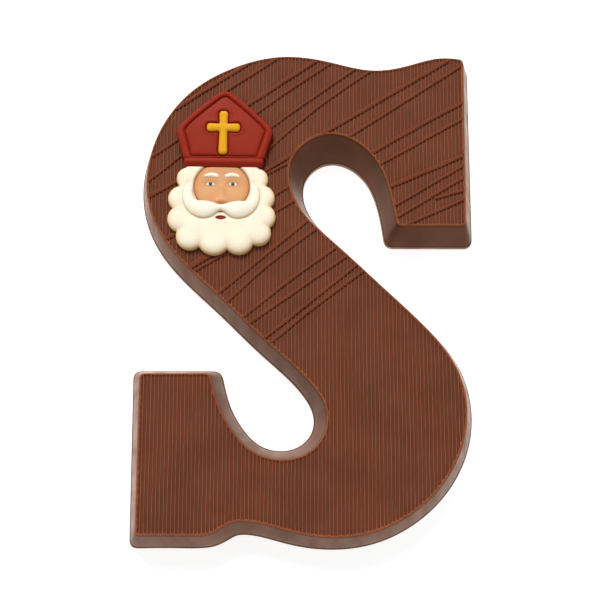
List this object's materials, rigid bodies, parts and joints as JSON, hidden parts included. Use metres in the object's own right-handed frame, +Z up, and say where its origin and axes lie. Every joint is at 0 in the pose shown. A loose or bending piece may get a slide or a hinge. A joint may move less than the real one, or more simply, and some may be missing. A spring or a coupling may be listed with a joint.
{
  "type": "chocolate letter",
  "caption": "Moulded milk chocolate letter S with a ribbed top, drafted sides and a bishop's head in coloured chocolate; lies flat as a gift or a table decoration.",
  "frame": {"origin": "middle of the flat base, under the middle of the letter's width and height", "axes": "+X to the letter's right, +Y to the letter's top, +Z up out of the ribbed face"},
  "size_m": [0.102, 0.1499, 0.0201],
  "materials": {
    "milk_chocolate": "satin",
    "red_chocolate": "satin",
    "yellow_chocolate": "satin",
    "cream_chocolate": "satin",
    "skin_chocolate": "satin",
    "dark_chocolate": "satin"
  },
  "bodies": {
    "root": {"letter": "milk_chocolate", "mitre": "red_chocolate", "mitre_band": "red_chocolate", "mouth": "red_chocolate", "cross": "yellow_chocolate", "beard": "cream_chocolate", "moustache": "cream_chocolate", "brow_left": "cream_chocolate", "brow_right": "cream_chocolate", "face": "skin_chocolate", "nose": "skin_chocolate", "eye_left": "dark_chocolate", "eye_right": "dark_chocolate"}
  },
  "joints": []
}
